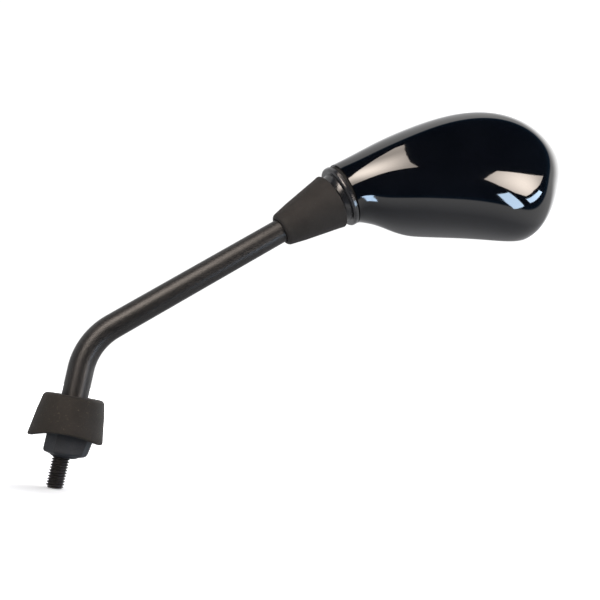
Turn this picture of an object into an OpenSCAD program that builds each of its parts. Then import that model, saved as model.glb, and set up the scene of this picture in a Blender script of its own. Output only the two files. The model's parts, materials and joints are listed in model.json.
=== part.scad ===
// Rear-view mirror for a motorcycle: left side, clamped by an M8 stud under its foot.
// A bent tube stem carries a ball joint, and the housing turns on the ball.
// Frame: origin on the stud's axis at the foot's seating face, +Z up the lower stem,
// +X outboard along the bend, +Y towards the rider, who looks at the glass.

/* [Stud and foot] */
// Thread diameter of the stud
stud_d = 8; // [6:1:10]
// Length of stud below the foot
stud_l = 14; // [10:1:30]
// Chamfer on the stud's tip
stud_chamfer = 1; // [0.5:0.1:1.5]
// Diameter of the stud's shank, pressed into the foot
stud_shank_d = 7; // [5:0.5:7.5]
// Depth of the shank inside the foot
stud_grip = 9.5; // [8:0.5:10]
// Width of the foot to the outboard side of the stud
foot_out = 13.2; // [12:0.1:13.4]
// Width of the foot to the inboard side of the stud
foot_in = 8.4; // [8:0.1:9]
// Depth of the foot, front to back
foot_depth = 15; // [14:0.5:16]
// Height of the foot's block
foot_h = 14; // [12:0.5:15]
// Inward slant of the foot's outboard flank
foot_slant = 12; // [0:1:15]
// Diameter of the hub that takes the stem
hub_d = 19; // [17:0.5:20]
// Height of the hub's top above the seating face
hub_top = 22; // [20:0.5:22.5]

/* [Base cap] */
// Diameter of the cap at its rim
cap_rim_d = 33; // [32.5:0.5:36]
// Diameter of the cap at its top
cap_top_d = 27.5; // [26:0.5:30]
// Height of the cap's top above the seating face
cap_top = 28; // [26:0.5:30]
// Height of the rim's lowest points above the seating face
cap_rim = 8.2; // [7:0.1:9]
// Wall of the cap
cap_wall = 2.4; // [2:0.1:2.6]
// Rise of the saddle cut across the rim
cap_arch = 2.6; // [1:0.1:4]
// Radius of the cap's top edge
cap_edge_r = 1.8; // [1:0.1:2.2]

/* [Stem] */
// Outer diameter of the stem tube
stem_d = 12; // [11:0.5:14]
// Wall of the stem tube
stem_wall = 1.5; // [1:0.1:2]
// Height of the bend's corner above the seating face
stem_rise = 53.5; // [50:0.5:70]
// Reach from the bend's corner to the ball's centre
stem_reach = 148; // [120:1:180]
// Angle of the bend
stem_bend = 48; // [30:1:60]
// Radius of the bend at the tube's centre
bend_r = 30; // [24:1:34]

/* [Ball joint] */
// Diameter of the ball
ball_d = 16; // [15:0.5:16.5]
// Diameter of the ball's neck
ball_neck_d = 8; // [7:0.5:8.5]
// Length of shank inside the tube
shank_l = 18; // [12:1:24]
// Thickness of the two seats around the ball
seat_t = 1.4; // [1.2:0.1:1.6]
// Wall of the socket around the seats
socket_wall = 1.6; // [1.4:0.1:1.8]
// Turning clearance between spherical faces
turn_gap = 0.15; // [0.1:0.05:0.2]
// Wire diameter of the joint spring
spring_wire = 1.4; // [1.2:0.1:1.6]
// Turns of the joint spring
spring_turns = 3; // [2:0.5:3.5]
// Length of the joint spring as fitted
spring_h = 7; // [6.5:0.1:7.5]
// Thickness of the washer behind the spring
washer_t = 1.2; // [0.8:0.1:1.4]
// Thickness of the retaining ring
snap_t = 1; // [0.8:0.1:1.2]

/* [Joint boot] */
// Diameter of the boot at its stem end
boot_small_d = 17.5; // [16.5:0.5:20]
// Diameter of the boot at its mouth
boot_mouth_d = 29.2; // [28.6:0.2:29.6]
// Length of the boot
boot_l = 31.5; // [28:0.5:36]
// Distance of the boot's mouth from the ball's centre
boot_back = 8.2; // [8:0.1:9]
// Wall of the boot at its mouth
boot_wall = 1.6; // [1.4:0.1:1.8]

/* [Collar] */
// Diameter of the collar and of the housing's neck
neck_d = 32.6; // [32:0.2:34]
// Start of the collar's lip, measured back from the ball's centre
lip_back = 4.2; // [3.8:0.1:4.3]
// Angle of the collar's axis above the housing's long axis
neck_tilt = 22; // [20:0.5:23]

/* [Housing] */
// Reach of the housing from the ball's centre to its tip
housing_l = 128.2; // [124:0.2:134]
// Height that the housing's upper edge is drawn towards
housing_up = 71.7; // [68:0.1:76]
// Depth that the housing's lower edge is drawn towards
housing_down = 46; // [44:0.5:49]
// Distance in front of the ball that the housing's front is drawn towards
housing_crown = 34; // [30:1:40]
// Distance of the rim plane behind the ball's centre
rim_back = 12; // [11.5:0.1:12.5]
// Wall of the housing
housing_wall = 2.4; // [2:0.1:2.6]
// Angle of the neck's cut edge above the housing's long axis
edge_tilt = 18; // [16:0.5:20]
// Squareness of the housing's section, 2 is an ellipse
section_power = 2.4; // [2:0.1:2.8]
// Turn of the housing towards the front
head_yaw = 5; // [0:0.5:6]
// Rise of the housing's long axis above the horizontal
head_rise = 18.5; // [17:0.5:20]
// Lean of the housing's face
head_pitch = 5.5; // [3:0.5:7]

/* [Glass] */
// Thickness of the glass
glass_t = 2.4; // [2:0.1:3]
// Radius of the glass's convex face
glass_curve = 1200; // [800:50:2000]
// Depth of the glass's edge below the rim
glass_sink = 0.8; // [0.5:0.1:1]
// Gap around the glass
glass_gap = 0.5; // [0.4:0.1:0.8]
// Thickness of the foam pad
pad_t = 1; // [0.8:0.1:1.2]
// Thickness of the plate that holds the glass
backing_t = 2.6; // [2.2:0.1:2.8]

/* [Screws] */
// Diameter of the screws in the housing
screw_d = 3; // [2.5:0.1:3.5]
// Diameter of their heads
screw_head_d = 5.6; // [5:0.1:6]
// Diameter of the bosses that take them
boss_d = 7.4; // [6.6:0.2:8]

/* [Hidden] */

$fn = 96;
cut = 0.5;            // how far a cutting tool stands past the face that it cuts
press_gap = 0.03;     // radial room of a pressed or screwed piece
slide_gap = 0.1;      // radial room of a rubber piece on the stem
bend_swell = 0.02;    // growth of the tube's wall in the bend
lead_in = 1.2;        // depth of the chamfer round the stud's shank
foot_clear = 0.4;     // room between the foot and the inside of the cap

stud_r = stud_d / 2;
shank_r = stud_shank_d / 2;
stem_r = stem_d / 2;
bore_r = stem_r - stem_wall;
hub_floor = stud_grip + 1.5;
cap_slope = (cap_rim_d - cap_top_d) / 2 / (cap_top - cap_rim);
cap_roof = 4;         // thickness of the cap's top
bend_leg = bend_r * tan(stem_bend / 2);
ball_r = ball_d / 2;
ball_neck_r = ball_neck_d / 2;
shoulder_back = ball_r + 4.5;
shoulder_t = 1.5;
tube_end = shoulder_back + shoulder_t;

seat_in = ball_r + turn_gap;
seat_out = seat_in + seat_t;
socket_r = seat_out + turn_gap;
barrel_r = socket_r + socket_wall;
cap_z = 4.2;          // start of the pressure cap, past the ball's centre
cap_back = 1.5;       // its thickness behind the ball and its seat
spring_z = socket_r + cap_back;
washer_z = spring_z + spring_h;
snap_z = washer_z + washer_t;
snap_grip = 0.7;      // depth of the retaining ring's groove
barrel_h = snap_z + snap_t + 1.4;

neck_r = neck_d / 2;
joint_x = stem_reach * sin(stem_bend);
joint_z = stem_rise + stem_reach * cos(stem_bend);

// Places inside the housing, as X along it and Z up it, from the ball's centre
tongue_t = 3;
tongue_y = 0.5 - barrel_r - tongue_t;
tongue_root = [11, 4.5];
socket_screw_at = [[34, 12.5], [40, -8]];
backing_y = rim_back - glass_sink - glass_t - pad_t - backing_t;
backing_inset = 8;    // of the hidden plate's edge from the housing's edge
glass_middle = 82;    // where the glass is highest, along the housing
glass_crown = 0.6;    // its height there over its edge
lens_steps = 6;
opening_x = 45;       // where the opening for the glass starts
opening_slant = -19;  // lean of its straight inner end
opening_corner = 12;  // radius of the corners there
rim_wall = 2;         // width of the rim round the glass
tip_z = 3.3;          // height of the housing's tip
upper_leave = 42;     // how far the upper edge runs straight on from the neck
upper_turn = 26.8;    // from the tip back to where the upper edge is drawn highest
upper_arrive = 6.5;   // how far it runs straight into the tip
lower_leave = 10;     // the same at the lower edge's start
lower_belly = 32.5;   // from the ball to where the lower edge is drawn lowest
lower_turn = 30.2;    // from the tip back to where it turns up
lower_turn_z = 2.8;   // height there
lower_arrive = 90;    // how far it runs straight into the tip

// Point at t on the Bezier curve with control points p
function bezier(p, t) =
    len(p) == 1 ? p[0] : bezier([for (i = [0:len(p) - 2]) p[i] * (1 - t) + p[i + 1] * t], t);
function ease(x) = let (c = min(max(x, 0), 1)) c * c * (3 - 2 * c);
function rounded_power(c, power) = sign(c) * pow(abs(c), 2 / power);

// The housing is lofted from its neck to its tip, through sections that stand on an upper
// and a lower edge curve, which meet at the tip along one direction
edge_dir = [cos(edge_tilt), sin(edge_tilt)];
edge_up = [-sin(edge_tilt), cos(edge_tilt)];
tip = [housing_l, tip_z];
tip_dir = [0.435, 0.9];
upper_edge = [neck_r * edge_up, neck_r * edge_up + upper_leave * edge_dir,
              [housing_l - upper_turn, housing_up], tip + upper_arrive * tip_dir, tip];
lower_edge = [-neck_r * edge_up, -neck_r * edge_up + lower_leave * edge_dir,
              [lower_belly, -housing_down], [housing_l - lower_turn, lower_turn_z],
              tip - lower_arrive * tip_dir, tip];

// Point between the two edges, at t along them and a share of the way up
function between_edges(t, share) = bezier(lower_edge, t) * (1 - share) + bezier(upper_edge, t) * share;
backing_screw_at = [between_edges(0.438, 0.81), between_edges(0.553, 0.19), between_edges(0.774, 0.71)];
stations = 28;
ring_n = 32;
cavity_end = 0.94;

// How far the section at t has changed from the round neck to the open back
function opened(t) = ease((t - 0.12) / 0.22);
function section_y(t) = rim_back * opened(t);
function back_depth(t) = neck_r * (1 - opened(t));
function front_y(t) = bezier([-neck_r, -housing_crown, -housing_crown, rim_back], t);

// One ring of points around the section at t, inset by a wall
function section_ring(t, inset) =
    let (top = bezier(upper_edge, t), low = bezier(lower_edge, t),
         mid = (top + low) / 2,
         half = norm(top - low) / 2 - inset,
         along = (top - low) / norm(top - low),
         back = max(back_depth(t) - inset, 0),
         y0 = section_y(t) + min(back_depth(t) - inset, 0),
         front = y0 - front_y(t) - inset,
         power = 2 + (section_power - 2) * opened(t))
    [for (j = [0:ring_n - 1])
        let (a = 360 * j / ring_n,
             front_side = a <= 180,
             p = half * rounded_power(cos(a), front_side ? power : 2),
             y = front_side ? y0 - front * rounded_power(sin(a), power) : y0 - back * sin(a))
        [mid.x + along.x * p, y, mid.y + along.y * p]];

// Faces between rings whose points start at some index, facing out or in
function ring_faces(rings, from = 0, inside = false) =
    [for (i = [0:rings - 2], j = [0:ring_n - 1])
        let (a = from + i * ring_n + j, b = from + i * ring_n + (j + 1) % ring_n,
             c = b + ring_n, d = a + ring_n)
        each inside ? [[a, c, d], [a, b, c]] : [[a, d, c], [a, c, b]]];

// Faces from the ring at some index to one point
function tip_faces(last, apex, inside = false) =
    [for (j = [0:ring_n - 1])
        let (a = last + j, b = last + (j + 1) % ring_n)
        inside ? [a, b, apex] : [a, apex, b]];

// Hollow skin of the housing, open at its neck
module housing_skin() {
    outer = [for (i = [0:stations - 1]) section_ring(i / stations, 0)];
    inner = [for (i = [0:stations]) section_ring(cavity_end * i / stations, housing_wall)];
    inner_middle = [for (p = inner[stations]) 1] * inner[stations] / ring_n;
    outer_tip = stations * ring_n;
    in_start = outer_tip + 1;
    inner_tip = in_start + (stations + 1) * ring_n;
    polyhedron(
        points = concat([for (r = outer) each r], [[tip.x, rim_back, tip.y]],
                        [for (r = inner) each r], [inner_middle]),
        faces = concat(
            ring_faces(stations), tip_faces(outer_tip - ring_n, outer_tip),
            ring_faces(stations + 1, in_start, true), tip_faces(inner_tip - ring_n, inner_tip, true),
            [for (j = [0:ring_n - 1])
                let (k = (j + 1) % ring_n)
                each [[j, k, in_start + k], [j, in_start + k, in_start + j]]]));
}

// The housing's form as a solid, drawn in by some amount
module housing_form(inset) {
    rings = [for (i = [0:stations - 1]) section_ring(cavity_end * i / stations, inset)];
    middle = [for (p = rings[stations - 1]) 1] * rings[stations - 1] / ring_n;
    apex = stations * ring_n;
    polyhedron(
        points = concat([for (r = rings) each r], [middle]),
        faces = concat([[for (j = [0:ring_n - 1]) j]], ring_faces(stations),
                       tip_faces(apex - ring_n, apex)));
}

// Outline of the housing, seen from the rider's side
function housing_outline(steps) =
    concat([for (i = [0:steps]) bezier(upper_edge, i / steps)],
           [for (i = [steps - 1:-1:1]) bezier(lower_edge, i / steps)]);

// Opening for the glass, or what lies in it, at an inset from the housing's edge
module opening_shape(inset) {
    offset(r = opening_corner - inset, $fn = 48)
        offset(delta = -opening_corner)
            intersection() {
                polygon(housing_outline(40));
                rotate(opening_slant)
                    translate([opening_x, -housing_l]) square(2 * housing_l);
            }
}

// A slab with that outline, from y0 to y1
module opening_slab(inset, y0, y1) {
    translate([0, y1, 0])
        rotate([90, 0, 0])
            linear_extrude(y1 - y0) opening_shape(inset);
}

module at_ball() {
    translate([joint_x, 0, joint_z]) children();
}

// +Z runs up the stem's arm, from the ball's centre
module along_stem() {
    at_ball() rotate([0, stem_bend, 0]) children();
}

// X runs along the housing, +Y towards the rider, from the ball's centre
module in_head() {
    at_ball() rotate([-head_pitch, -head_rise, -head_yaw]) children();
}

// +Z runs along the collar's axis, into the housing
module along_neck() {
    in_head() rotate([0, 90 - neck_tilt, 0]) children();
}

module ring(r_out, r_in, z0, z1) {
    translate([0, 0, z0])
        difference() {
            cylinder(r = r_out, h = z1 - z0);
            translate([0, 0, -cut]) cylinder(r = r_in, h = z1 - z0 + 2 * cut);
        }
}

// Part of a hollow ball between two planes
module ball_shell(r_out, r_in, z0, z1) {
    intersection() {
        difference() {
            sphere(r = r_out);
            sphere(r = r_in);
        }
        translate([0, 0, z0]) cylinder(r = r_out + cut, h = z1 - z0);
    }
}

// Cone that follows the inside of the base cap, grown by some radial amount
module cap_inside(grow, z0, z1) {
    wall_r = cap_rim_d / 2 - cap_wall + grow;
    translate([0, 0, z0])
        cylinder(r1 = wall_r - cap_slope * (z0 - cap_rim), r2 = wall_r - cap_slope * (z1 - cap_rim), h = z1 - z0);
}

module stud() {
    color("#202022")
        rotate_extrude()
            polygon([[0, -stud_l], [stud_r - stud_chamfer, -stud_l], [stud_r, -stud_l + stud_chamfer],
                     [stud_r, 0], [shank_r, 0], [shank_r, stud_grip], [0, stud_grip]]);
}

// Block that the stud's shank is pressed into, with a hub for the stem
module stem_foot() {
    half = foot_depth / 2;
    corner = 5.5;
    small_corner = 2.5;
    color("#2b2d32")
        difference() {
            union() {
                intersection() {
                    linear_extrude(foot_h)
                        polygon([[-foot_in, half - small_corner], [-foot_in, corner - half],
                                 [corner - foot_in, -half], [foot_out - small_corner, -half],
                                 [foot_out, small_corner - half], [foot_out, half - small_corner],
                                 [foot_out - small_corner, half], [small_corner - foot_in, half]]);
                    // corners turned down to the inside of the cap
                    cap_inside(-foot_clear, -cut, foot_h + cut);
                }
                cylinder(d = hub_d, h = hub_top);
            }
            // outboard flank, slanted in towards the seating face
            translate([foot_out, 0, cap_rim])
                rotate([0, foot_slant, 0])
                    translate([0, -foot_depth, -2 * foot_h]) cube([foot_h, 2 * foot_depth, 2 * foot_h]);
            // bevel under the inboard front corner
            translate([-foot_in, -half, 0])
                rotate([0, 0, -45])
                    rotate([-35, 0, 0]) cube([3 * corner, 2 * corner, 4], center = true);
            translate([0, 0, -cut]) cylinder(r = shank_r + press_gap, h = stud_grip + 2 * cut);
            // lead-in for the shank, wider than the stud's shoulder
            translate([0, 0, -cut])
                cylinder(r1 = stud_r + 0.6 + cut, r2 = stud_r + 0.6 - lead_in, h = lead_in + cut);
            translate([0, 0, hub_floor]) cylinder(r = stem_r + press_gap, h = hub_top);
        }
}

// Section of the tube, with walls that a bend swells by a hair
module tube_profile(swell = 0) {
    difference() {
        circle(r = stem_r + swell);
        circle(r = bore_r - swell);
    }
}

// Straight foot end, bend and straight arm of one bent tube
module stem_tube() {
    bend_z = stem_rise - bend_leg;
    color("#1c1c1e") {
        translate([0, 0, hub_floor]) linear_extrude(bend_z - hub_floor + cut) tube_profile();
        translate([bend_r, 0, bend_z])
            rotate([90, 0, 0])
                rotate([0, 0, 180 - stem_bend])
                    rotate_extrude(angle = stem_bend)
                        translate([bend_r, 0]) tube_profile(bend_swell);
        along_stem()
            translate([0, 0, bend_leg - stem_reach - cut])
                linear_extrude(stem_reach - bend_leg - tube_end + cut) tube_profile();
    }
}

// Rubber bell over the foot, with a saddle-shaped rim
module base_cap() {
    low_z = cap_rim - cut;
    low_r = cap_rim_d / 2 + cut * cap_slope;
    top_r = cap_top_d / 2;
    arch_r = (pow(cap_rim_d / 2, 2) + pow(cap_arch, 2)) / (2 * cap_arch);
    color("#2a2521")
        difference() {
            rotate_extrude()
                polygon(concat([[0, low_z], [low_r, low_z]],
                               [for (a = [0:15:90]) [top_r - cap_edge_r + cap_edge_r * cos(a),
                                                     cap_top - cap_edge_r + cap_edge_r * sin(a)]],
                               [[0, cap_top]]));
            cap_inside(0, low_z - cut, cap_top - cap_roof);
            cylinder(r = stem_r + slide_gap, h = cap_top + cut);
            translate([0, cap_rim_d, cap_rim + cap_arch - arch_r])
                rotate([90, 0, 0]) cylinder(r = arch_r, h = 2 * cap_rim_d, $fn = 180);
        }
}

// Ball with a shoulder against the tube's end and a shank inside it
module ball_stud() {
    color("#9a9ca0")
        along_stem() {
            sphere(r = ball_r);
            translate([0, 0, -shoulder_back - cut]) cylinder(r = ball_neck_r, h = shoulder_back);
            translate([0, 0, -tube_end]) cylinder(r = stem_r, h = shoulder_t);
            translate([0, 0, -tube_end - shank_l]) cylinder(r = bore_r - press_gap, h = shank_l + cut);
        }
}

// Rubber cone over the joint, pushed on along the stem
module joint_boot() {
    small_r = boot_small_d / 2;
    mouth_r = boot_mouth_d / 2;
    start = -boot_back - boot_l;
    round_r = 2;
    grip = 12;
    color("#332f2d")
        along_stem()
            rotate_extrude()
                polygon(concat(
                    [[stem_r + slide_gap, start]],
                    [for (a = [-90:15:0]) [small_r - round_r + round_r * cos(a), start + round_r + round_r * sin(a)]],
                    [[mouth_r, -boot_back - 0.8], [mouth_r - 0.5, -boot_back],
                     [mouth_r - boot_wall, -boot_back], [small_r + 0.5, start + grip + 6],
                     [stem_r + slide_gap, start + grip]]));
}

module outer_seat() {
    color("#d8d4c8")
        along_neck() ball_shell(seat_out, seat_in, -5.8, -0.8);
}

module inner_seat() {
    color("#d8d4c8")
        along_neck() ball_shell(seat_out, seat_in, 0.8, seat_out + cut);
}

// Socket for the ball: collar outside, barrel inside, and a tongue screwed to the housing
module socket_body() {
    lip_r = 1.2;
    lip_end = 1.7;
    guard_r = 13.9;
    base_z = -9.4;
    mouth_r = 6.9;
    spigot_r = neck_r - housing_wall - 0.3;
    spigot_l = 4;
    color("#26262a")
        difference() {
            union() {
                along_neck() {
                    intersection() {
                        sphere(r = guard_r);
                        translate([0, 0, base_z]) cylinder(r = guard_r, h = -lip_end - base_z);
                    }
                    rotate_extrude()
                        polygon(concat([[0, -lip_back], [neck_r - lip_r, -lip_back]],
                                       [for (a = [-75:15:0]) [neck_r - lip_r + lip_r * cos(a),
                                                             lip_r - lip_back + lip_r * sin(a)]],
                                       [[neck_r, -lip_end], [spigot_r, -lip_end], [spigot_r, spigot_l],
                                        [0, spigot_l]]));
                    cylinder(r = barrel_r, h = barrel_h);
                }
                in_head()
                    translate([0, tongue_y + tongue_t, 0])
                        rotate([90, 0, 0])
                            linear_extrude(tongue_t)
                                for (at = socket_screw_at)
                                    hull() {
                                        translate(at) circle(d = boss_d + 1, $fn = 32);
                                        translate(tongue_root) circle(r = 5, $fn = 32);
                                    }
            }
            along_neck() {
                sphere(r = socket_r);
                cylinder(r = socket_r, h = barrel_h + cut);
                translate([0, 0, snap_z - 0.05]) cylinder(r = socket_r + snap_grip, h = snap_t + 0.1);
                translate([0, 0, base_z - cut]) cylinder(r = mouth_r, h = -base_z);
            }
            in_head()
                for (at = socket_screw_at)
                    translate([at.x, tongue_y + tongue_t + cut, at.y])
                        rotate([90, 0, 0]) cylinder(d = screw_d + 0.3, h = tongue_t + 2 * cut);
        }
}

// Rubber wedge ring between the collar and the housing's tilted edge
module neck_seal() {
    inner_r = neck_r - housing_wall - 0.25;
    color("#101012")
        intersection() {
            along_neck() ring(neck_r - 1.1, inner_r, -1.65, 3);
            in_head()
                rotate([0, 90 - edge_tilt, 0])
                    translate([0, 0, -20.05]) cylinder(r = 2 * neck_r, h = 20);
        }
}

module pressure_cap() {
    color("#3a3d42")
        along_neck()
            difference() {
                translate([0, 0, cap_z]) cylinder(r = socket_r - turn_gap, h = spring_z - cap_z);
                sphere(r = socket_r);
            }
}

// Coil with a round wire, as a swept tube
module joint_spring() {
    coil_r = socket_r - turn_gap - spring_wire;
    wire_r = spring_wire / 2;
    sides = 8;
    steps = 24 * spring_turns;
    rise = spring_h - spring_wire - 0.1;
    color("#8f9194")
        along_neck()
            translate([0, 0, spring_z + wire_r + 0.05])
                polyhedron(
                    points = [for (i = [0:steps], j = [0:sides - 1])
                        let (turn = 360 * spring_turns * i / steps, a = 360 * j / sides,
                             r = coil_r + wire_r * cos(a))
                        [r * cos(turn), r * sin(turn), rise * i / steps + wire_r * sin(a)]],
                    faces = concat(
                        [[for (j = [sides - 1:-1:0]) j]],
                        [for (i = [0:steps - 1], j = [0:sides - 1])
                            let (a = i * sides + j, b = i * sides + (j + 1) % sides)
                            each [[a, b + sides, a + sides], [a, b, b + sides]]],
                        [[for (j = [0:sides - 1]) steps * sides + j]]));
}

// Steel washer between the spring and its retaining ring
module spring_washer() {
    color("#a5a7aa")
        along_neck() ring(socket_r - turn_gap, socket_r / 2, washer_z, snap_z);
}

// Snap ring in the barrel's groove, open at one side, with two lugs for pliers
module retaining_ring() {
    outer = socket_r + snap_grip - 0.1;
    inner = socket_r - 1.8;
    lug_r = 1.9;
    lug_turn = 20;
    mouth_turn = 9;
    color("#7d7f82")
        along_neck()
            translate([0, 0, snap_z])
                linear_extrude(snap_t)
                    difference() {
                        union() {
                            difference() {
                                circle(r = outer);
                                circle(r = inner);
                            }
                            for (s = [-1, 1])
                                rotate(s * lug_turn) translate([inner - 0.6, 0]) circle(r = lug_r);
                        }
                        polygon([[0, 0], 2 * outer * [cos(mouth_turn), sin(mouth_turn)],
                                 2 * outer * [cos(mouth_turn), -sin(mouth_turn)]]);
                        for (s = [-1, 1])
                            rotate(s * lug_turn) translate([inner - 0.6, 0]) circle(r = 0.8);
                    }
}

// Pan-head screw with its head's underside at the origin, pointing down
module pan_screw(d, head_d, length) {
    head_h = 0.6 * d;
    difference() {
        union() {
            cylinder(d1 = head_d, d2 = 0.8 * head_d, h = head_h);
            translate([0, 0, -length]) cylinder(d = d, h = length + cut);
        }
        translate([0, 0, head_h]) cube([0.22 * d, 0.62 * head_d, head_h], center = true);
        translate([0, 0, head_h]) cube([0.62 * head_d, 0.22 * d, head_h], center = true);
    }
}

// Screw bosses with two gussets each, running down to the front wall
module screw_bosses(places, top_y) {
    gusset_t = 1.4;
    for (at = places)
        translate([at.x, top_y, at.y])
            rotate([90, 0, 0]) {
                cylinder(d = boss_d, h = 2 * housing_crown, $fn = 24);
                for (a = [0, 90])
                    rotate([0, 0, a])
                        hull() {
                            translate([-boss_d / 2, -gusset_t / 2, 6]) cube([boss_d, gusset_t, 1]);
                            translate([-boss_d, -gusset_t / 2, 2 * rim_back])
                                cube([2 * boss_d, gusset_t, housing_crown]);
                        }
            }
}

module screw_pilots(places, top_y, depth) {
    for (at = places)
        translate([at.x, top_y + cut, at.y])
            rotate([90, 0, 0]) cylinder(r = screw_d / 2 + press_gap, h = depth + cut, $fn = 24);
}

socket_screw_l = 8;
backing_screw_l = 10;

// Moulded shell with its neck, the opening for the glass and the bosses inside
module housing_shell() {
    color("#0b0d14")
        in_head()
            difference() {
                union() {
                    housing_skin();
                    intersection() {
                        housing_form(housing_wall / 2);
                        union() {
                            screw_bosses(socket_screw_at, tongue_y);
                            screw_bosses(backing_screw_at, backing_y);
                        }
                    }
                }
                opening_slab(rim_wall, rim_back - glass_sink - glass_t - 0.3, rim_back + cut);
                screw_pilots(socket_screw_at, tongue_y, socket_screw_l);
                screw_pilots(backing_screw_at, backing_y, backing_screw_l);
            }
}

module screws_along_y(places, head_y, length) {
    for (at = places)
        translate([at.x, head_y, at.y]) rotate([-90, 0, 0]) pan_screw(screw_d, screw_head_d, length);
}

module socket_screws() {
    color("#7d7f82")
        in_head() screws_along_y(socket_screw_at, tongue_y + tongue_t, socket_screw_l);
}

// Sinks for the screws that hold the backing, deep enough for their heads
sink_depth = 0.6 * screw_d + 0.1;

module glass_backing() {
    color("#1a1a1c")
        in_head()
            difference() {
                opening_slab(backing_inset, backing_y, backing_y + backing_t);
                for (at = backing_screw_at)
                    translate([at.x, backing_y, at.y])
                        rotate([-90, 0, 0]) {
                            translate([0, 0, -cut]) cylinder(d = screw_d + 0.3, h = backing_t + 2 * cut);
                            translate([0, 0, backing_t - sink_depth])
                                cylinder(d = screw_head_d + 0.6, h = sink_depth + cut);
                        }
            }
}

module backing_screws() {
    color("#7d7f82")
        in_head()
            screws_along_y(backing_screw_at, backing_y + backing_t - sink_depth, backing_screw_l - backing_t);
}

module glass_pad() {
    color("#3c3c3e")
        in_head()
            opening_slab(backing_inset - 2, backing_y + backing_t, backing_y + backing_t + pad_t);
}

// Glass with a flat back and a convex face towards the rider
module mirror_glass() {
    face_y = rim_back - glass_sink;
    lens_r = housing_l / 2;
    color("#c4ccd2")
        in_head()
            intersection() {
                opening_slab(rim_wall + glass_gap, face_y - glass_t, face_y + glass_crown + cut);
                translate([glass_middle, face_y + glass_crown - glass_curve, 0])
                    rotate([-90, 0, 0])
                        rotate_extrude()
                            polygon(concat([[0, glass_curve - 2 * glass_t],
                                            [lens_r, glass_curve - 2 * glass_t]],
                                           [for (i = [lens_steps:-1:0])
                                               let (x = lens_r * i / lens_steps)
                                               [x, sqrt(pow(glass_curve, 2) - pow(x, 2))]]));
            }
}

stud();
stem_foot();
stem_tube();
base_cap();
ball_stud();
joint_boot();
outer_seat();
inner_seat();
socket_body();
neck_seal();
pressure_cap();
joint_spring();
spring_washer();
retaining_ring();
housing_shell();
socket_screws();
glass_backing();
backing_screws();
glass_pad();
mirror_glass();
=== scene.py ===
"""Looks of the motorcycle mirror: finer meshes for six nodes, materials, light and the photo's camera."""
import json
from math import cos, pi, radians, sin, sqrt, tan

import bmesh
import bpy
from mathutils import Matrix, Vector
from mathutils.geometry import convex_hull_2d, tessellate_polygon

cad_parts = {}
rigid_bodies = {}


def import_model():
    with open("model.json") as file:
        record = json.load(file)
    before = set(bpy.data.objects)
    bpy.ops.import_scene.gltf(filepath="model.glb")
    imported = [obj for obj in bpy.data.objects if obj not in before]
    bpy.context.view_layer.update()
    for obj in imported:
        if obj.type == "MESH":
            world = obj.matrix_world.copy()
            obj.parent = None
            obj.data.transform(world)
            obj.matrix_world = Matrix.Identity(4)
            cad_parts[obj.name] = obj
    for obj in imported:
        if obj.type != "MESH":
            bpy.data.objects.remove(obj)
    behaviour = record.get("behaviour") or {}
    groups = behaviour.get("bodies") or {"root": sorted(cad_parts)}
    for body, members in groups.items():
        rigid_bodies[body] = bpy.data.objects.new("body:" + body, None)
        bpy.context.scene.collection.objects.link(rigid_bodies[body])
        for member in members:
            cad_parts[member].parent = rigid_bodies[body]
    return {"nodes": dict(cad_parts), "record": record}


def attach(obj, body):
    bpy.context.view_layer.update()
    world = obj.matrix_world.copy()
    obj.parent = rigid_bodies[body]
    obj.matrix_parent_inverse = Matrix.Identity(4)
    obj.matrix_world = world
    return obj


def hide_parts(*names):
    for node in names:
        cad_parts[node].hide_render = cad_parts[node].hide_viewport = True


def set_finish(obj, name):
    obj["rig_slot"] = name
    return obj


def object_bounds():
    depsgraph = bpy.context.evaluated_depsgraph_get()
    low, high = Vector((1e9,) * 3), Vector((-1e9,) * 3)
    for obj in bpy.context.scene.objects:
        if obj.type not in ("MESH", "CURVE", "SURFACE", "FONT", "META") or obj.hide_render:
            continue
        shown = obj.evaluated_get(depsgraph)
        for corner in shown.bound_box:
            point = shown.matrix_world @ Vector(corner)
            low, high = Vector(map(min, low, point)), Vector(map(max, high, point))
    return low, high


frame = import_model()
nodes = frame["nodes"]
scene = bpy.context.scene
cad_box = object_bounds()

MM = 0.001

# Camera, solved from the photo's outlines
camera_at = Vector((27.4, -340.7, 36.1)) * MM
camera_right = Vector((0.9597, -0.2233, 0.1706))
camera_up = Vector((-0.2011, -0.1220, 0.9719))
focal_px = 700
picture_px = 600

# Pieces are in millimetres. These place the stem, the ball joint's centre and the housing's axes.
stem_rise = 53.5
stem_reach = 148
stem_bend = radians(48)
stem_r = 6
slide_gap = 0.1
press_gap = 0.03
ball = Vector((stem_reach * sin(stem_bend), 0, stem_rise + stem_reach * cos(stem_bend)))
head_yaw = radians(5)
head_rise = radians(18.5)
head_pitch = radians(5.5)
head_axes = (Matrix.Rotation(-head_yaw, 4, "Z") @ Matrix.Rotation(-head_rise, 4, "Y")
             @ Matrix.Rotation(-head_pitch, 4, "X"))
head_place = Matrix.Translation(ball) @ head_axes
stem_place = Matrix.Translation(ball) @ Matrix.Rotation(stem_bend, 4, "Y")
upright = Matrix.Identity(4)


# Meshes

def mesh_object(name, mesh_bm, place, body=None, slot_name=None):
    """A piece from a bmesh in millimetres, moved to its place."""
    bmesh.ops.recalc_face_normals(mesh_bm, faces=mesh_bm.faces)
    mesh = bpy.data.meshes.new(name)
    mesh_bm.to_mesh(mesh)
    mesh_bm.free()
    mesh.transform(Matrix.Diagonal((MM, MM, MM, 1)) @ place)
    piece = bpy.data.objects.new(name, mesh)
    scene.collection.objects.link(piece)
    if body:
        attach(piece, body)
        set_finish(piece, slot_name)
    return piece


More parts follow.
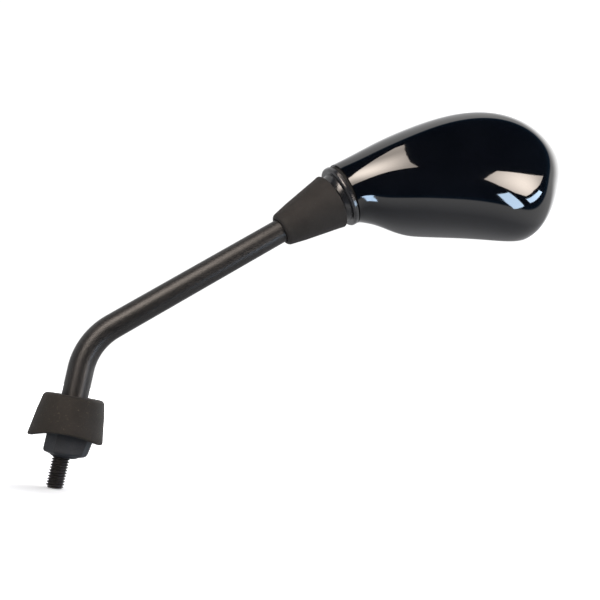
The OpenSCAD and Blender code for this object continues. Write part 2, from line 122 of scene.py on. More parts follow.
def shade(piece, crease):
    """Smooth shading, with creases at edges sharper than an angle in degrees."""
    mesh = piece.data
    mesh.polygons.foreach_set("use_smooth", [True] * len(mesh.polygons))
    mesh.set_sharp_from_angle(angle=radians(crease))


def skin(mesh_bm, rings, closed=True):
    """Faces between rings of the same number of vertices."""
    count = len(rings[0])
    for low, high in zip(rings, rings[1:]):
        for j in range(count if closed else count - 1):
            k = (j + 1) % count
            mesh_bm.faces.new((low[j], low[k], high[k], high[j]))


def fan(mesh_bm, ring, apex):
    """Triangles from a ring of vertices to one more vertex."""
    for j, vert in enumerate(ring):
        mesh_bm.faces.new((vert, ring[(j + 1) % len(ring)], apex))


def turned(mesh_bm, profile, turn):
    """Vertices of a profile of (radius, z) points, turned about Z."""
    return [mesh_bm.verts.new((r * cos(turn), r * sin(turn), z)) for r, z in profile]


def lathe(profile_at, around):
    """A ring-shaped bmesh about Z from closed profiles, which a function gives for each turn."""
    mesh_bm = bmesh.new()
    turns = [2 * pi * step / around for step in range(around)]
    rings = [turned(mesh_bm, profile_at(turn), turn) for turn in turns]
    skin(mesh_bm, rings + rings[:1])
    return mesh_bm


def arc(centre, radius, start, end, steps):
    """Points on a round corner, with angles in degrees."""
    points = []
    for i in range(steps + 1):
        a = radians(start + (end - start) * i / steps)
        points.append((centre[0] + radius * cos(a), centre[1] + radius * sin(a)))
    return points


def bevel_edges(piece, width, angle):
    """Rounds edges sharper than an angle in degrees and keeps flat faces flat."""
    bevel = piece.modifiers.new("edges", "BEVEL")
    bevel.width = width * MM
    bevel.segments = 3
    bevel.limit_method = "ANGLE"
    bevel.angle_limit = radians(angle)
    bevel.harden_normals = True


def apply_modifiers(piece):
    """Puts the result of a piece's modifiers into its mesh."""
    result = piece.evaluated_get(bpy.context.evaluated_depsgraph_get())
    mesh = bpy.data.meshes.new_from_object(result)
    piece.modifiers.clear()
    piece.data = mesh


# Housing, a loft between an upper and a lower edge curve, in the head's frame

neck_r = 16.3
housing_l = 128.2
housing_up = 71.7
housing_down = 46
housing_crown = 34
housing_wall = 2.4
rim_back = 12
rim_round = 1.1
section_power = 2.4

# Edge curves: how far they run straight on at their ends, and where they are drawn towards in between
tip_z = 3.3
upper_leave = 42
upper_turn = 26.8
upper_arrive = 6.5
lower_leave = 10
lower_belly = 32.5
lower_turn = 30.2
lower_turn_z = 2.8
lower_arrive = 90
edge_tilt = radians(18)
edge_dir = Vector((cos(edge_tilt), sin(edge_tilt)))
edge_up = Vector((-sin(edge_tilt), cos(edge_tilt)))
tip = Vector((housing_l, tip_z))
tip_dir = Vector((0.435, 0.9))
upper_edge = [neck_r * edge_up, neck_r * edge_up + upper_leave * edge_dir,
              Vector((housing_l - upper_turn, housing_up)), tip + upper_arrive * tip_dir, tip]
lower_edge = [-neck_r * edge_up, -neck_r * edge_up + lower_leave * edge_dir,
              Vector((lower_belly, -housing_down)), Vector((housing_l - lower_turn, lower_turn_z)),
              tip - lower_arrive * tip_dir, tip]

# Places along the curves, from 0 at the neck to 1 at the tip, and the numbers of points
open_from = 0.12
open_over = 0.22
outside_end = 0.995
cavity_end = 0.94
outside_stations = 110
cavity_stations = 60
front_steps = 72
back_steps = 24

# Cut for the glass below the rim, and how far the two cutters stand past what they cut
opening_depth = 3.5
opening_clear = 3
cavity_clear = 3

glass_gap = 0.5
glass_t = 2.4
glass_curve = 1200
glass_sink = 0.8
glass_middle = 82
glass_crown = 0.6
glass_steps = 16
outline_step = 0.4


def bezier(points, t):
    """Point at t on the curve with these control points."""
    while len(points) > 1:
        points = [a * (1 - t) + b * t for a, b in zip(points, points[1:])]
    return points[0]


def ease(x):
    c = min(max(x, 0.0), 1.0)
    return c * c * (3 - 2 * c)


def opened(t):
    """How far the section at t has changed from the round neck to the open back."""
    return ease((t - open_from) / open_over)


def rounded_power(c, power):
    return (1 if c >= 0 else -1) * abs(c) ** (2 / power)


def section(t, inset):
    """Points round the housing at t: over the front and back along the rim plane."""
    top = bezier(upper_edge, t)
    low = bezier(lower_edge, t)
    mid = (top + low) / 2
    half = (top - low).length / 2 - inset
    along = (top - low).normalized()
    back = max(neck_r * (1 - opened(t)) - inset, 0)
    y0 = rim_back * opened(t) + min(neck_r * (1 - opened(t)) - inset, 0)
    front = y0 - bezier([-neck_r, -housing_crown, -housing_crown, rim_back], t) - inset
    power = 2 + (section_power - 2) * opened(t)
    corner = min(rim_round * opened(t), half / 2, front / 2) if inset == 0 else 0
    points = []
    for i in range(front_steps + 1):
        a = pi * i / front_steps
        points.append((half * rounded_power(cos(a), power),
                       y0 - corner - (front - corner) * rounded_power(sin(a), power)))
    for i in range(1, back_steps):
        a = pi * i / back_steps
        p = -half * cos(a)
        edge = max(abs(p) - (half - corner), 0)
        drop = corner - sqrt(max(corner ** 2 - edge ** 2, 0))
        points.append((p, y0 + back * sin(a) - drop))
    return [Vector((mid.x + along.x * p, y, mid.y + along.y * p)) for p, y in points]


def loft(sections, apex):
    """A closed solid through sections of the housing, which ends in a point."""
    mesh_bm = bmesh.new()
    rings = [[mesh_bm.verts.new(p) for p in points] for points in sections]
    skin(mesh_bm, rings)
    mesh_bm.faces.new(rings[0])
    fan(mesh_bm, rings[-1], mesh_bm.verts.new(apex))
    return mesh_bm


def housing_outside():
    """Sections that come closer together towards the tip."""
    places = [outside_end * sin(pi / 2 * i / outside_stations) for i in range(outside_stations + 1)]
    return loft([section(t, 0) for t in places], Vector((tip.x, rim_back, tip.y)))


def housing_cavity():
    """The inside, which starts a little way out of the neck."""
    sections = [section(cavity_end * i / cavity_stations, housing_wall) for i in range(cavity_stations + 1)]
    out_of_neck = Vector((edge_dir.x, 0, edge_dir.y)) * cavity_clear
    sections[0] = [p - out_of_neck for p in sections[0]]
    centre = Vector((0, 0, 0))
    for p in sections[-1]:
        centre += p / len(sections[-1])
    return loft(sections, centre)


def glass_outline():
    """The glass's anticlockwise outline, as (x, z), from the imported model."""
    to_head = head_place.inverted()
    points = [to_head @ (v.co / MM) for v in nodes["mirror_glass"].data.vertices]
    flat = [Vector((p.x, p.z)) for p in points]
    around = [flat[i] for i in convex_hull_2d(flat)]
    outline = [around[0]]
    for p in around[1:]:
        if min((p - outline[-1]).length, (p - around[0]).length) > outline_step:
            outline.append(p)
    return outline


def grown(outline, gap):
    """An anticlockwise outline moved outwards, along its own normals."""
    points = []
    for i, p in enumerate(outline):
        along = (outline[(i + 1) % len(outline)] - outline[i - 1]).normalized()
        points.append(p + Vector((along.y, -along.x)) * gap)
    return points


def prism(outline, y0, y1):
    """A solid between two planes across Y."""
    mesh_bm = bmesh.new()
    rings = [[mesh_bm.verts.new((p.x, y, p.y)) for p in outline] for y in (y0, y1)]
    skin(mesh_bm, rings)
    mesh_bm.faces.new(rings[0])
    mesh_bm.faces.new(rings[1])
    return mesh_bm


def housing():
    """Hollow shell with a rounded rim and an opening for the glass."""
    shell = mesh_object("shell_smooth", housing_outside(), head_place)
    opening = prism(grown(glass_outline(), glass_gap), rim_back - opening_depth, rim_back + opening_clear)
    cutters = [mesh_object("cavity", housing_cavity(), head_place),
               mesh_object("opening", opening, head_place)]
    for cutter in cutters:
        boolean = shell.modifiers.new(cutter.name, "BOOLEAN")
        boolean.operation = "DIFFERENCE"
        boolean.solver = "EXACT"
        boolean.object = cutter
    bpy.context.view_layer.update()
    apply_modifiers(shell)
    for cutter in cutters:
        bpy.data.objects.remove(cutter)
    shade(shell, 38)
    weighted = shell.modifiers.new("flat_faces", "WEIGHTED_NORMAL")
    weighted.keep_sharp = True
    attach(shell, "head")
    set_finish(shell, "shell_gloss")
    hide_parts("housing_shell")


def glass():
    """The glass with a smoothly crowned face, so that its reflections have no steps."""
    outline = glass_outline()
    middle = Vector((glass_middle, 0))
    edge_y = rim_back - glass_sink
    mesh_bm = bmesh.new()

    def face_point(p):
        fall = glass_curve - sqrt(glass_curve ** 2 - (p - middle).length_squared)
        return mesh_bm.verts.new((p.x, edge_y + glass_crown - fall, p.y))

    rings = [[mesh_bm.verts.new((p.x, edge_y - glass_t, p.y)) for p in outline]]
    for step in range(glass_steps):
        rings.append([face_point(p.lerp(middle, step / glass_steps)) for p in outline])
    skin(mesh_bm, rings)
    mesh_bm.faces.new(rings[0])
    fan(mesh_bm, rings[-1], face_point(middle))
    pane = mesh_object("glass_smooth", mesh_bm, head_place, "head", "mirror")
    shade(pane, 30)
    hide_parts("mirror_glass")


# Threaded stud

thread_pitch = 1.25
thread_depth = 0.85
stud_r = 4
shank_r = 3.5
stud_l = 14
stud_grip = 9.5
stud_round = 1.3
run_in = 2
weld_gap = 1e-3
# One turn, as (share of the pitch, share of the depth)
thread_profile = [(0.0, 0.0), (0.06, 0.0), (0.46, 1.0), (0.54, 1.0), (0.94, 0.0), (1.0, 0.0)]


def threaded_stud():
    """A swept thread: each turn shares its edges with the next, and both ends are cut square."""
    around = 64
    low, high = -stud_l, stud_grip
    turns = int((high - low) / thread_pitch) + run_in + 1

    def limit(z):
        """The stud's radius without its thread."""
        if z > 0:
            return shank_r
        depth = min(z - low, stud_round)
        return stud_r - stud_round + sqrt(max(stud_round ** 2 - (stud_round - depth) ** 2, 0))

    mesh_bm = bmesh.new()
    columns = []
    for step in range(turns * around + 1):
        base = low - run_in * thread_pitch + thread_pitch * step / around
        profile = []
        for share, crest in thread_profile:
            z = min(max(base + share * thread_pitch, low), high)
            profile.append((min(stud_r - thread_depth * (1 - crest), limit(z)), z))
        columns.append(turned(mesh_bm, profile, 2 * pi * step / around))
    skin(mesh_bm, columns, closed=False)
    bmesh.ops.remove_doubles(mesh_bm, verts=mesh_bm.verts, dist=weld_gap)
    bmesh.ops.dissolve_degenerate(mesh_bm, edges=mesh_bm.edges, dist=weld_gap / 10)
    open_edges = [e for e in mesh_bm.edges if e.is_boundary]
    bmesh.ops.holes_fill(mesh_bm, edges=open_edges, sides=0)
    stud = mesh_object("stud_thread", mesh_bm, upright, "stem", "stud_steel")
    shade(stud, 30)
    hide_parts("stud")


# Base cap

cap_rim = 7.6
cap_top = 27.6
cap_rim_r = 16.8
cap_top_r = 13.9
cap_wall = 2.4
cap_roof = 4
cap_arch = 3.2
cap_rim_round = 0.9
cap_inner_round = 0.4
cap_edge_r = 2.2
cap_lip_r = 0.7
cap_rim_band = 4
cap_mid_share = 0.7
roof_bevel_r = 1.2
roof_bevel_z = 1


def saddle(x):
    """Height of the cap's rim above its lowest points."""
    radius = (cap_rim_r ** 2 + cap_arch ** 2) / (2 * cap_arch)
    return cap_arch - radius + sqrt(radius ** 2 - x ** 2)


def cap_outside(z):
    """Radius of the cap's wall at a height."""
    return cap_rim_r - (cap_rim_r - cap_top_r) / (cap_top - cap_rim) * (z - cap_rim)


def cap_profile(turn):
    """From the bore over the top, down the outside, round the rim and up the inside."""
    bore = stem_r + slide_gap
    rim_z = cap_rim + saddle(cap_rim_r * cos(turn))
    roof_z = cap_top - cap_roof
    edge_z = cap_top - cap_edge_r
    profile = arc((bore + cap_lip_r, cap_top - cap_lip_r), cap_lip_r, 180, 90, 4)
    profile += arc((cap_top_r - cap_edge_r, edge_z), cap_edge_r, 90, 4, 8)
    wall_z = (rim_z + cap_mid_share * (edge_z - rim_z), rim_z + cap_rim_band)
    profile += [(cap_outside(z), z) for z in wall_z]
    round_z = rim_z + cap_rim_round
    profile += arc((cap_outside(round_z) - cap_rim_round, round_z), cap_rim_round, 0, -90, 5)
    profile += arc((cap_outside(rim_z) - cap_wall + cap_inner_round, rim_z + cap_inner_round),
                   cap_inner_round, -90, -180, 3)
    profile += [(cap_outside(roof_z - roof_bevel_z) - cap_wall, roof_z - roof_bevel_z),
                (cap_outside(roof_z) - cap_wall - roof_bevel_r, roof_z), (bore, roof_z)]
    return profile


def base_cap():
    """Bell with a saddle-shaped, rounded rim and a soft top edge."""
    cap = mesh_object("cap_soft", lathe(cap_profile, 144), upright, "cap", "cap_rubber")
    shade(cap, 50)
    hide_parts("base_cap")


# Boot

boot_small_r = 8.75
boot_mouth_r = 14.6
boot_l = 31.5
boot_back = 8.2
boot_wall = 1.6
boot_grip = 12
boot_end_round = 2.0
boot_lip_r = 0.6
boot_flare_r = 0.5
boot_flare_l = 6
bead_r = 0.45
bead_back = 0.2
mouth_back = 0.3


def joint_boot():
    """Hollow rubber cone with a rounded small end and a thin bead round its mouth."""
    start = -boot_back - boot_l
    end = -boot_back
    bore = stem_r + slide_gap
    profile = arc((bore + boot_lip_r, start + boot_lip_r), boot_lip_r, 180, 270, 3)
    profile += arc((boot_small_r - boot_end_round, start + boot_end_round), boot_end_round, -90, -10, 6)
    profile += [(boot_small_r + (boot_mouth_r - boot_small_r) * share, start + boot_l * share)
                for share in (0.3, 0.6, 0.85, 0.93)]
    profile += arc((boot_mouth_r - bead_r, end - bead_r - bead_back), bead_r, -20, 110, 6)
    profile += [(boot_mouth_r - boot_wall, end - mouth_back),
                (boot_small_r + boot_flare_r, start + boot_grip + boot_flare_l), (bore, start + boot_grip)]
    boot = mesh_object("boot_soft", lathe(lambda turn: profile, 144), stem_place, "boot", "boot_rubber")
    shade(boot, 50)
    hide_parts("joint_boot")


# Foot

foot_in = 8.4
foot_out = 13.2
foot_depth = 15
foot_h = 14
foot_slant = radians(20)
foot_corner = 5.5
foot_small_corner = 2.5
flank_in = 0.6
flank_shift = 0.4
foot_edge = 0.5
foot_bevel = 0.45
# Height and inset of the edges worn round underneath
foot_wear = [(0.0, 4.2), (0.7, 3.2), (1.5, 0.7), (2.2, 0.0)]
hub_r = 9.5
hub_top = 22
hub_edge = 0.6
hub_overlap = 1


def foot():
    """Cast block with a wide inboard chamfer, a slanted outboard flank and edges worn round underneath."""
    half = foot_depth / 2
    wide, small = foot_corner, foot_small_corner
    flank = foot_out - flank_in
    outline = [(-foot_in, half - small), (-foot_in, wide - half), (wide - foot_in, -half),
               (foot_out - small, -half), (flank, small - half), (flank, half - small),
               (foot_out - small, half), (small - foot_in, half)]
    mesh_bm = bmesh.new()
    rings = []
    for z, inset in foot_wear + [(foot_h - foot_edge, 0.0), (foot_h, foot_edge)]:
        slant = max(cap_rim - z, 0) * tan(foot_slant) - flank_shift
        ring = []
        for x, y in outline:
            share = 1 - inset / sqrt(x * x + y * y)
            ring.append(mesh_bm.verts.new((x * share - (slant if x > wide else 0), y * share, z)))
        rings.append(ring)
    skin(mesh_bm, rings)
    mesh_bm.faces.new(rings[0])
    mesh_bm.faces.new(rings[-1])
    block = mesh_object("foot_cast", mesh_bm, upright, "stem", "cast_black")
    shade(block, 60)
    bevel_edges(block, foot_bevel, angle=25)
    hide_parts("stem_foot")
    bore = stem_r + press_gap
    hub_low = foot_h - hub_overlap
    profile = [(bore, hub_low), (hub_r, hub_low), (hub_r, hub_top - hub_edge), (hub_r - hub_edge, hub_top),
               (bore, hub_top)]
    hub = mesh_object("foot_hub", lathe(lambda turn: profile, 128), upright, "stem", "cast_black")
    shade(hub, 30)


# Materials

class NodeTree:
    """Shorthands for the nodes and links of a material or a world."""

    def __init__(self, owner):
        owner.use_nodes = True
        self.tree = owner.node_tree

    def add(self, kind, **values):
        made = self.tree.nodes.new(kind)
        for name, value in values.items():
            setattr(made, name, value)
        return made

    def join(self, start, end):
        self.tree.links.new(start, end)

    def ramp(self, value, *stops):
        """A colour ramp through stops of a position and a colour or a grey."""
        made = self.add("ShaderNodeValToRGB")
        points = made.color_ramp.elements
        while len(points) < len(stops):
            points.new(0.5)
        for point, (position, colour) in zip(points, stops):
            point.position = position
            point.color = (*colour, 1) if isinstance(colour, tuple) else (colour, colour, colour, 1)
        self.join(value, made.inputs["Fac"])
        return made.outputs["Color"]

    def measured(self, place, operation, other=(0, 0, 0)):
        """A number from a vector and another one, such as their distance."""
        made = self.add("ShaderNodeVectorMath", operation=operation)
        made.inputs[1].default_value = other
        self.join(place, made.inputs[0])
        return made.outputs["Value"]

    def eased(self, value, start, end, low, high):
        """A number that eases from low to high while a value goes from start to end."""
        made = self.add("ShaderNodeMapRange", interpolation_type="SMOOTHSTEP")
        for name, limit in {"From Min": start, "From Max": end, "To Min": low, "To Max": high}.items():
            made.inputs[name].default_value = limit
        self.join(value, made.inputs["Value"])
        return made.outputs["Result"]


class Look(NodeTree):
    """A Principled material."""

    def __init__(self, name):
        self.material = bpy.data.materials.new(name)
        super().__init__(self.material)
        self.shader = self.tree.nodes["Principled BSDF"]
        self.place = self.add("ShaderNodeTexCoord").outputs["Object"]

    def set(self, **values):
        for name, value in values.items():
            self.shader.inputs[name.replace("_", " ")].default_value = value

    def noise(self, scale, detail=3.0, roughness=0.55):
        made = self.add("ShaderNodeTexNoise")
        made.inputs["Scale"].default_value = scale
        made.inputs["Detail"].default_value = detail
        made.inputs["Roughness"].default_value = roughness
        self.join(self.place, made.inputs["Vector"])
        return made.outputs["Fac"]

    def cells(self, scale):
        made = self.add("ShaderNodeTexVoronoi")
        made.inputs["Scale"].default_value = scale
        self.join(self.place, made.inputs["Vector"])
        return made.outputs["Distance"]

    def mix(self, a, b, share):
        made = self.add("ShaderNodeMix", data_type="RGBA")
        self.join(a, made.inputs["A"])
        self.join(b, made.inputs["B"])
        self.join(share, made.inputs["Factor"])
        return made.outputs["Result"]

    def colour(self, value):
        self.join(value, self.shader.inputs["Base Color"])

    def rough(self, value, low, high):
        self.join(self.ramp(value, (0.3, low), (0.7, high)), self.shader.inputs["Roughness"])

    def bump(self, height, strength, distance):
        made = self.add("ShaderNodeBump")
        made.inputs["Strength"].default_value = strength
        made.inputs["Distance"].default_value = distance
        self.join(height, made.inputs["Height"])
        self.join(made.outputs["Normal"], self.shader.inputs["Normal"])


def gloss_black():
    look = Look("shell_gloss")
    look.colour(look.ramp(look.noise(35), (0.35, (0.0012, 0.0015, 0.0026)), (0.65, (0.002, 0.0024, 0.0038))))
    look.rough(look.noise(420, 6), 0.035, 0.06)
    look.bump(look.noise(90, 2), 0.02, 0.0006)
    look.set(IOR=1.52)
    return look.material


def rubber(name, dark, light, fleck, fleck_scale=900):
    """Matte rubber with fine pale flecks and a slow mottle."""
    look = Look(name)
    mottle = look.ramp(look.noise(70, 4), (0.35, dark), (0.7, light))
    grain = look.noise(fleck_scale, 5, 0.7)
    flecks = look.ramp(grain, (0.56, 0.0), (0.72, 0.55))
    pale = look.ramp(look.noise(fleck_scale / 3), (0.4, fleck), (0.6, light))
    look.colour(look.mix(mottle, pale, flecks))
    look.rough(grain, 0.62, 0.85)
    look.bump(grain, 0.35, 0.00025)
    look.set(Specular_IOR_Level=0.25)
    return look.material


def powder_coat():
    look = Look("stem_coat")
    mottle = look.noise(60, 4)
    look.colour(look.ramp(mottle, (0.35, (0.006, 0.0055, 0.0055)), (0.65, (0.010, 0.0095, 0.0095))))
    peel = look.noise(1400, 3)
    look.rough(peel, 0.36, 0.46)
    look.bump(peel, 0.22, 0.00018)
    look.set(Specular_IOR_Level=0.3)
    return look.material


def cast_black():
    look = Look("cast_black")
    look.colour(look.ramp(look.noise(150, 5), (0.35, (0.006, 0.008, 0.012)), (0.65, (0.011, 0.0145, 0.020))))
    grain = look.noise(1100, 5, 0.65)
    look.rough(grain, 0.45, 0.62)
    look.bump(grain, 0.4, 0.0003)
    look.set(Specular_IOR_Level=0.35)
    return look.material


def thread_black():
    look = Look("stud_steel")
    look.colour(look.ramp(look.noise(500, 4), (0.4, (0.006, 0.005, 0.006)), (0.65, (0.014, 0.012, 0.013))))
    look.rough(look.noise(900), 0.38, 0.55)
    look.bump(look.noise(1500), 0.15, 0.0001)
    look.set(Metallic=0.25)
    return look.material


def moulded(name, dark, light, low, high):
    """Satin plastic."""
    look = Look(name)
    look.colour(look.ramp(look.noise(160, 3), (0.35, dark), (0.65, light)))
    grain = look.noise(1800, 3)
    look.rough(grain, low, high)
    look.bump(grain, 0.12, 0.00012)
    return look.material


def metal(name, dark, light, low, high):
    """Bare or plated metal."""
    look = Look(name)
    look.colour(look.ramp(look.noise(175, 4), (0.35, dark), (0.65, light)))
    look.rough(look.noise(700, 4), low, high)
    look.bump(look.noise(1400, 3), 0.1, 0.0001)
    look.set(Metallic=1.0)
    return look.material


def foam():
    look = Look("foam")
    cells = look.cells(1600)
    look.colour(look.ramp(cells, (0.1, (0.045, 0.045, 0.047)), (0.6, (0.11, 0.11, 0.112))))
    look.rough(cells, 0.85, 0.95)
    look.bump(cells, 0.6, 0.0003)
    return look.material


def silvered():
    """Silvered glass with a faint waviness."""
    look = Look("mirror")
    look.colour(look.ramp(look.noise(12, 2), (0.35, (0.78, 0.81, 0.83)), (0.65, (0.82, 0.85, 0.86))))
    look.rough(look.noise(300, 5), 0.012, 0.03)
    look.bump(look.noise(25, 1), 0.01, 0.0008)
    look.set(Metallic=1.0, Coat_Weight=0.6, Coat_Roughness=0.02)
    return look.material


# Colours go from dark to light, then come a rubber's flecks, or the least and most roughness
LOOKS = {
    "stud_steel": thread_black(),
    "cast_black": cast_black(),
    "stem_coat": powder_coat(),
    "ball_steel": metal("ball_steel", (0.42, 0.43, 0.45), (0.6, 0.61, 0.63), 0.16, 0.26),
    "cap_rubber": rubber("cap_rubber", (0.006, 0.005, 0.004), (0.013, 0.0105, 0.0085),
                         (0.11, 0.09, 0.065)),
    "boot_rubber": rubber("boot_rubber", (0.007, 0.006, 0.0055), (0.013, 0.0115, 0.011),
                          (0.055, 0.05, 0.045), fleck_scale=1300),
    "seat_plastic": moulded("seat_plastic", (0.6, 0.57, 0.5), (0.68, 0.65, 0.58), 0.4, 0.5),
    "socket_black": moulded("socket_black", (0.010, 0.010, 0.011), (0.016, 0.016, 0.018), 0.16, 0.24),
    "seal_rubber": rubber("seal_rubber", (0.006, 0.006, 0.006), (0.01, 0.01, 0.01), (0.03, 0.03, 0.03)),
    "zinc_cast": metal("zinc_cast", (0.28, 0.29, 0.3), (0.4, 0.41, 0.42), 0.4, 0.55),
    "spring_steel": metal("spring_steel", (0.3, 0.31, 0.32), (0.42, 0.43, 0.45), 0.22, 0.34),
    "plain_steel": metal("plain_steel", (0.5, 0.5, 0.52), (0.62, 0.62, 0.64), 0.25, 0.35),
    "ring_steel": metal("ring_steel", (0.1, 0.1, 0.105), (0.18, 0.18, 0.19), 0.35, 0.5),
    "shell_gloss": gloss_black(),
    "screw_steel": metal("screw_steel", (0.45, 0.45, 0.47), (0.58, 0.58, 0.6), 0.25, 0.36),
    "backing_black": moulded("backing_black", (0.02, 0.02, 0.021), (0.032, 0.032, 0.034), 0.42, 0.55),
    "foam": foam(),
    "mirror": silvered(),
}


def paint(piece, slot_name):
    piece.data.materials.clear()
    piece.data.materials.append(LOOKS[slot_name])


# Light and floor, in metres

table_normal = (0.03, -0.93, 0.37)
table_edge = 0.61
bright_side = (0.7, 0.55, 0.45)
shaded_side = (0, 0.75, -0.66)
white_strength = 1.05

# Corners of the light cards. The left one is a large warm window, the others a lamp and blue panes.
CARDS = {
    "card_left": ((1.0, 0.88, 0.78), 11, [
        (-0.50, -0.60, 0.05), (-0.44, -0.54, 0.41), (-0.41, -0.47, 0.57), (-0.35, -0.39, 0.70),
        (-0.28, -0.29, 0.81), (-0.17, -0.17, 0.91), (-0.13, -0.20, 0.91), (-0.13, -0.42, 0.82),
        (-0.09, -0.60, 0.69), (-0.01, -0.74, 0.51), (0.07, -0.80, 0.38), (-0.02, -0.79, 0.36),
        (-0.12, -0.77, 0.32), (-0.19, -0.75, 0.26), (-0.26, -0.72, 0.17), (-0.32, -0.69, 0.06),
        (-0.42, -0.64, -0.12)]),
    "card_right": ((1.0, 0.88, 0.78), 10, [
        (0.56, -0.73, 0.09), (0.57, -0.73, 0.20), (0.59, -0.70, 0.31), (0.68, -0.64, 0.35),
        (0.79, -0.51, 0.40), (0.92, -0.23, 0.47), (0.93, -0.31, 0.37), (0.90, -0.42, 0.23),
        (0.83, -0.49, 0.03), (0.75, -0.57, -0.02), (0.66, -0.66, 0.01)]),
    "pane_left": ((0.55, 0.75, 1.0), 20, [
        (-0.05, -0.49, -0.49), (0.02, -0.49, -0.49), (0.045, -0.43, -0.53), (0.085, -0.36, -0.57),
        (0.115, -0.29, -0.61), (0.02, -0.29, -0.61)]),
    "pane_low": ((0.6, 0.78, 1.0), 18, [
        (0.66, -0.57, -0.18), (0.71, -0.59, -0.06), (0.76, -0.52, -0.11), (0.82, -0.40, -0.17),
        (0.74, -0.35, -0.33), (0.70, -0.46, -0.28)]),
    "pane_right": ((0.6, 0.78, 1.0), 18, [
        (0.84, -0.47, -0.02), (0.91, -0.41, 0.15), (0.94, -0.33, 0.28), (0.97, -0.25, 0.29),
        (0.95, -0.32, 0.16), (0.88, -0.40, -0.04)]),
}

# Brightest places of the two large cards, and how far and how much they fade from there
SPOTS = {"card_left": (-0.33, -0.57, 0.45), "card_right": (0.76, -0.55, 0.22)}
spot_reach = 0.45
spot_bright = 1.9
spot_dim = 0.55

# Place, side, power and colour
LIGHTS = {
    "key": ((-0.45, -0.65, 0.9), 0.6, 6, (1.0, 0.94, 0.88)),
    "top": ((0.3, 0.5, 1.5), 1.2, 10, (0.97, 0.98, 1.0)),
    "side": ((1.0, -0.5, 0.3), 0.5, 3, (0.7, 0.84, 1.0)),
}

floor_size = 8
floor_gap = 0.0002


def world():
    """White for the camera. Reflections see a bright table behind and a dark room on the camera's side."""
    studio = bpy.data.worlds.new("studio")
    scene.world = studio
    sky = NodeTree(studio)
    sky.tree.nodes.clear()
    ray = sky.add("ShaderNodeTexCoord").outputs["Generated"]

    def toward(direction):
        """Cosine of the angle between the ray and a direction."""
        return sky.measured(ray, "DOT_PRODUCT", Vector(direction).normalized())

    share = sky.add("ShaderNodeMath", operation="MULTIPLY_ADD")
    share.inputs[1].default_value = 0.5
    share.inputs[2].default_value = 0.5
    sky.join(toward(table_normal), share.inputs[0])
    shades = sky.ramp(
        share.outputs["Value"],
        (0.0, (1.15, 1.15, 1.17)), (table_edge - 0.28, (0.62, 0.62, 0.63)),
        (table_edge - 0.012, (0.85, 0.84, 0.83)), (table_edge + 0.008, (0.02, 0.06, 0.11)),
        (table_edge + 0.06, (0.01, 0.018, 0.03)), (1.0, (0.02, 0.025, 0.035)))
    strength = sky.add("ShaderNodeMath", operation="MULTIPLY")
    brightened = sky.eased(toward(bright_side), start=0.84, end=0.98, low=1.0, high=4.0)
    shaded = sky.eased(toward(shaded_side), start=0.15, end=0.85, low=1.45, high=0.62)
    sky.join(brightened, strength.inputs[0])
    sky.join(shaded, strength.inputs[1])
    reflected = sky.add("ShaderNodeBackground")
    sky.join(shades, reflected.inputs["Color"])
    sky.join(strength.outputs["Value"], reflected.inputs["Strength"])
    seen = sky.add("ShaderNodeBackground")
    seen.inputs["Color"].default_value = (1, 1, 1, 1)
    seen.inputs["Strength"].default_value = white_strength
    either = sky.add("ShaderNodeMixShader")
    sky.join(sky.add("ShaderNodeLightPath").outputs["Is Camera Ray"], either.inputs["Fac"])
    sky.join(reflected.outputs["Background"], either.inputs[1])
    sky.join(seen.outputs["Background"], either.inputs[2])
    sky.join(either.outputs["Shader"], sky.add("ShaderNodeOutputWorld").inputs["Surface"])


def card(name, colour, strength, corners, spot=None):
    """A lit card that only light and reflections meet, brighter round a spot if one is given."""
    points = [Vector(corner) for corner in corners]
    mesh = bpy.data.meshes.new(name)
    mesh.from_pydata(points, [], tessellate_polygon([points]))
    sheet = bpy.data.objects.new(name, mesh)
    scene.collection.objects.link(sheet)
    sheet.visible_camera = False
    sheet.visible_shadow = False
    sheet.visible_diffuse = False
    look = Look(name)
    look.set(Roughness=1.0, Emission_Color=(*colour, 1), Emission_Strength=strength)
    if spot:
        away = look.measured(look.place, "DISTANCE", spot)
        glow = look.eased(away, start=0.0, end=spot_reach,
                          low=spot_bright * strength, high=spot_dim * strength)
        look.join(glow, look.shader.inputs["Emission Strength"])
    look.colour(look.ramp(look.noise(2), (0.4, 0.0), (0.6, 0.01)))
    mesh.materials.append(look.material)


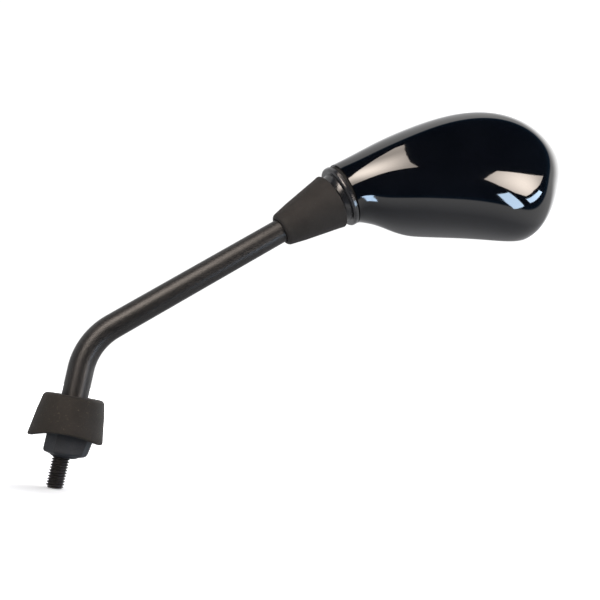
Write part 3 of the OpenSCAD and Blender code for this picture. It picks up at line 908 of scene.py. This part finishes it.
def soft_light(name, at, side, power, colour):
    """A square area light that faces the ball joint and doesn't show in the gloss."""
    data = bpy.data.lights.new(name, "AREA")
    data.size = side
    data.energy = power
    data.color = colour
    lamp = bpy.data.objects.new(name, data)
    scene.collection.objects.link(lamp)
    lamp.location = at
    lamp.visible_glossy = False
    lamp.rotation_euler = (ball * MM - Vector(at)).to_track_quat("-Z", "Y").to_euler()


def floor():
    """A pale floor just under the stud, brighter further out so that it fades into the white."""
    bpy.ops.mesh.primitive_plane_add(size=floor_size, location=(0.1, 0, cad_box[0][2] - floor_gap))
    plane = bpy.context.object
    plane.name = "floor"
    look = Look("floor")
    look.colour(look.ramp(look.noise(3, 2), (0.3, (0.86, 0.86, 0.87)), (0.7, (0.88, 0.88, 0.89))))
    look.set(Roughness=0.9, Specular_IOR_Level=0.0, Emission_Color=(1, 1, 1, 1))
    glow = look.eased(look.measured(look.place, "LENGTH"), start=0.1, end=0.6, low=0.25, high=1.2)
    look.join(glow, look.shader.inputs["Emission Strength"])
    plane.data.materials.append(look.material)
    plane.visible_glossy = False


def camera():
    data = bpy.data.cameras.new("view")
    data.sensor_width = 36
    data.lens = data.sensor_width * focal_px / picture_px
    data.clip_start = 0.01
    data.clip_end = 20
    eye = bpy.data.objects.new("view", data)
    scene.collection.objects.link(eye)
    forward = camera_up.cross(camera_right).normalized()
    up = camera_right.cross(forward).normalized()
    turn = Matrix((camera_right.normalized(), up, -forward)).transposed()
    eye.matrix_world = Matrix.Translation(camera_at) @ turn.to_4x4()
    scene.camera = eye


housing()
glass()
threaded_stud()
foot()
base_cap()
joint_boot()

for subpart in frame["record"]["subparts"]:
    paint(nodes[subpart["node"]], subpart["material_slot"])
for piece in list(scene.objects):
    if piece.type == "MESH" and "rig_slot" in piece:
        paint(piece, piece["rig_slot"])

world()
floor()
camera()
for name, (colour, strength, corners) in CARDS.items():
    card(name, colour, strength, corners, SPOTS.get(name))
for name, settings in LIGHTS.items():
    soft_light(name, *settings)

scene.view_settings.view_transform = "Standard"
scene.view_settings.look = "None"
